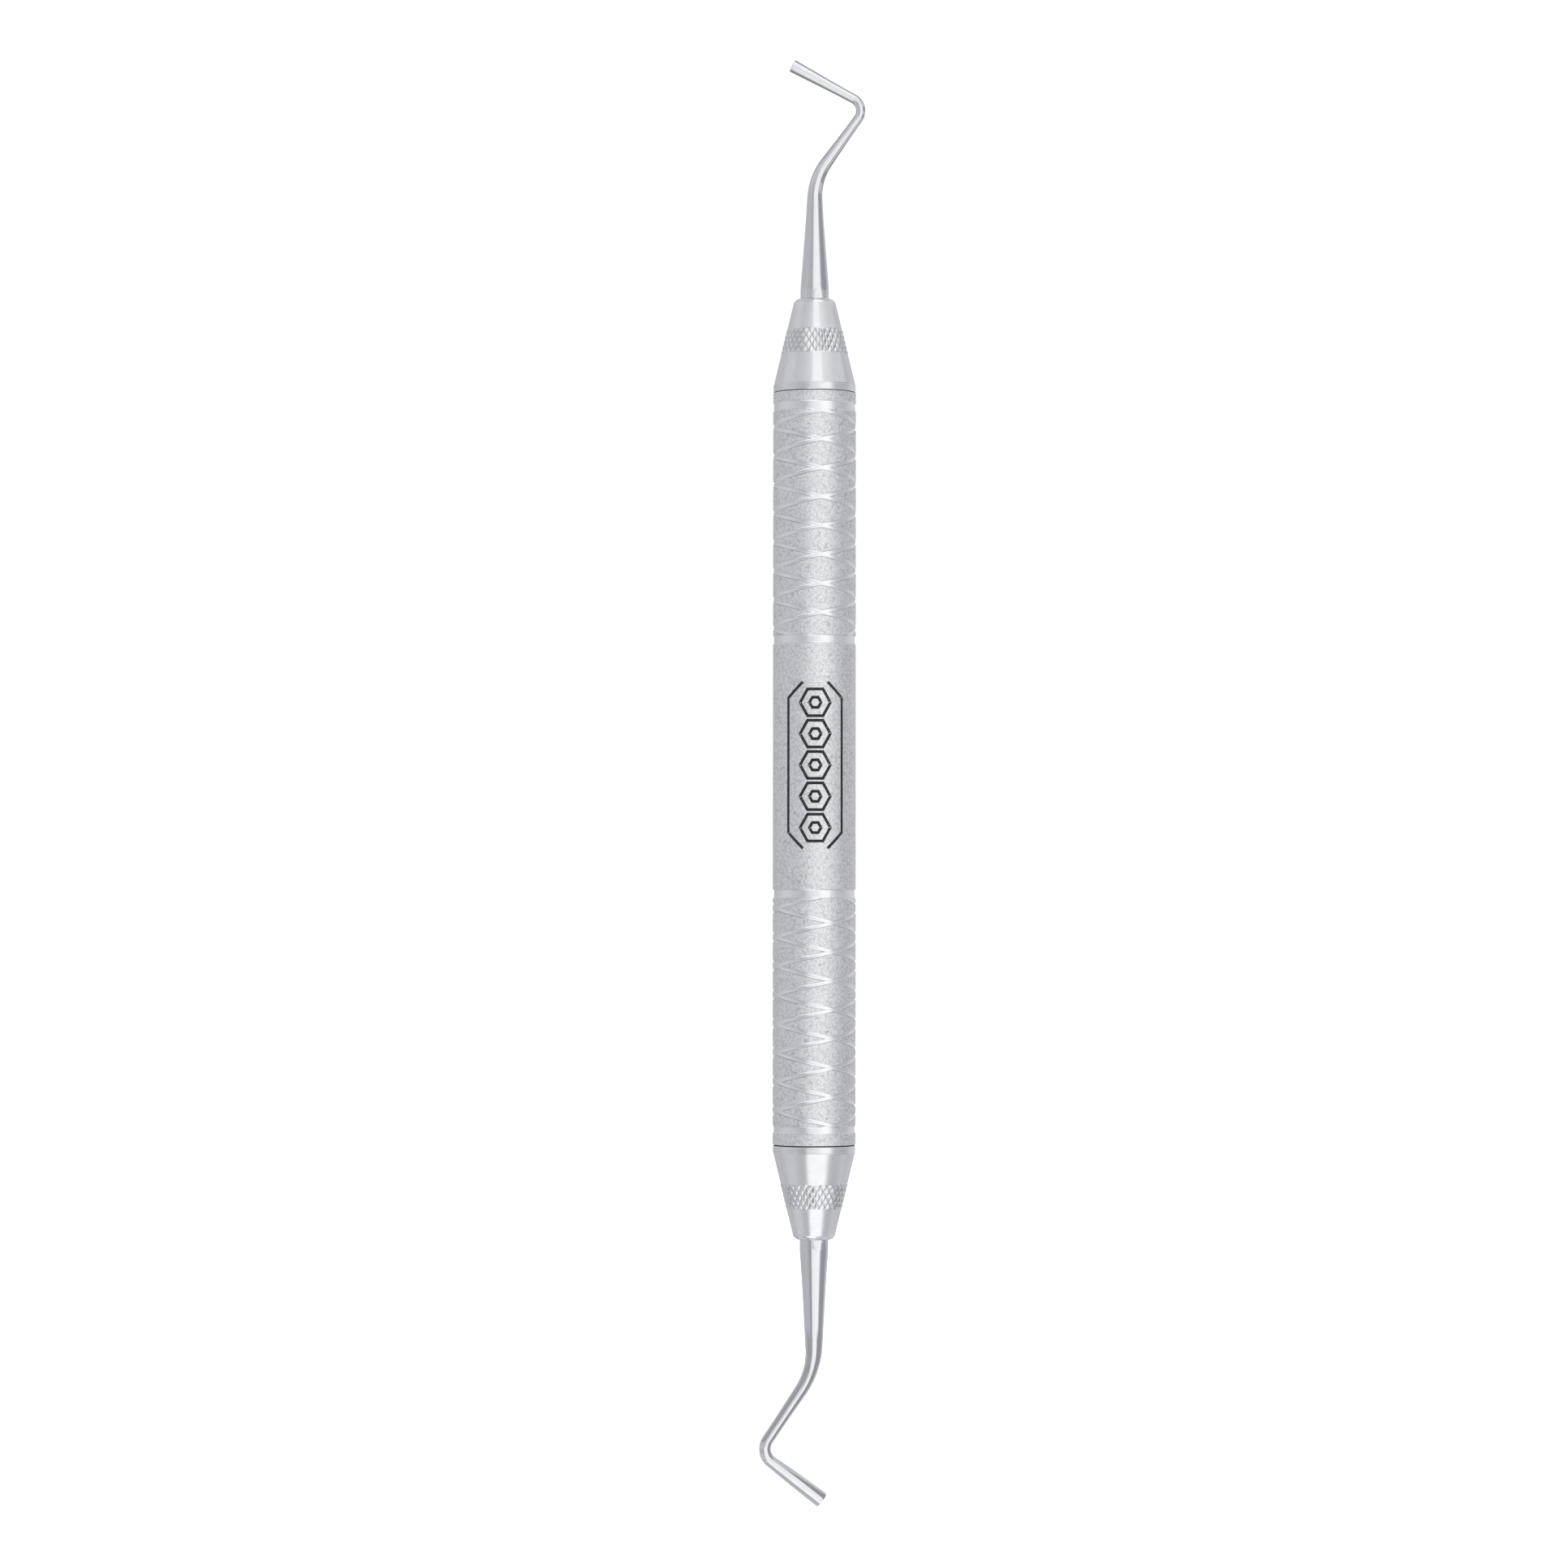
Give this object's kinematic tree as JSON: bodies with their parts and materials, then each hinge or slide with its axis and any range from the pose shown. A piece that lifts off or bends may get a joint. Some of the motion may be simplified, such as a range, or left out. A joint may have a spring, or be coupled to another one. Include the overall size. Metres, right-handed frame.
{
  "type": "dental hand instrument",
  "caption": "Double-ended dental hand instrument with flat-ended condenser tips on bent shanks, knurled screw-out cones and a grooved hollow handle.",
  "frame": {"origin": "middle of the handle, on its axis, which is within 0.6 mm of the centre of mass", "axes": "+Z along the handle towards the smaller working end, +X towards the side the smaller end's elbow bends to, +Y away from a viewer who sees both bends side on"},
  "size_m": [0.0127, 0.01, 0.1746],
  "materials": {
    "blasted_steel": "sand-blasted satin with polished grooves",
    "polished_steel": "turned and polished",
    "machined_steel": "machined",
    "black_silicone": "matt"
  },
  "bodies": {
    "handle": {"handle_tube": "blasted_steel", "upper_threaded_bush": "machined_steel", "lower_threaded_bush": "machined_steel"},
    "upper_seal": {"upper_seal_ring": "black_silicone"},
    "upper_tip": {"upper_cone": "polished_steel", "upper_working_end": "polished_steel"},
    "lower_seal": {"lower_seal_ring": "black_silicone"},
    "lower_tip": {"lower_cone": "polished_steel", "lower_working_end": "polished_steel"}
  },
  "joints": [
    {"name": "upper_cone_travel", "type": "slide", "parent": "handle", "child": "upper_seal", "axis": [0, 0, 1], "range_m": [0, 0.004]},
    {"name": "upper_cone_turn", "type": "hinge", "parent": "upper_seal", "child": "upper_tip", "pos_m": [0, 0, 0.04539], "axis": [0, 0, 1], "range_deg": [0, 1440]},
    {"name": "lower_cone_travel", "type": "slide", "parent": "handle", "child": "lower_seal", "axis": [0, 0, -1], "range_m": [0, 0.004]},
    {"name": "lower_cone_turn", "type": "hinge", "parent": "lower_seal", "child": "lower_tip", "pos_m": [0, 0, -0.04539], "axis": [0, 0, -1], "range_deg": [0, 1440]}
  ],
  "couplings": [
    {"joint": "upper_cone_turn", "follows": "upper_cone_travel", "rad_per_m": 6283.2},
    {"joint": "lower_cone_turn", "follows": "lower_cone_travel", "rad_per_m": 6283.2}
  ]
}
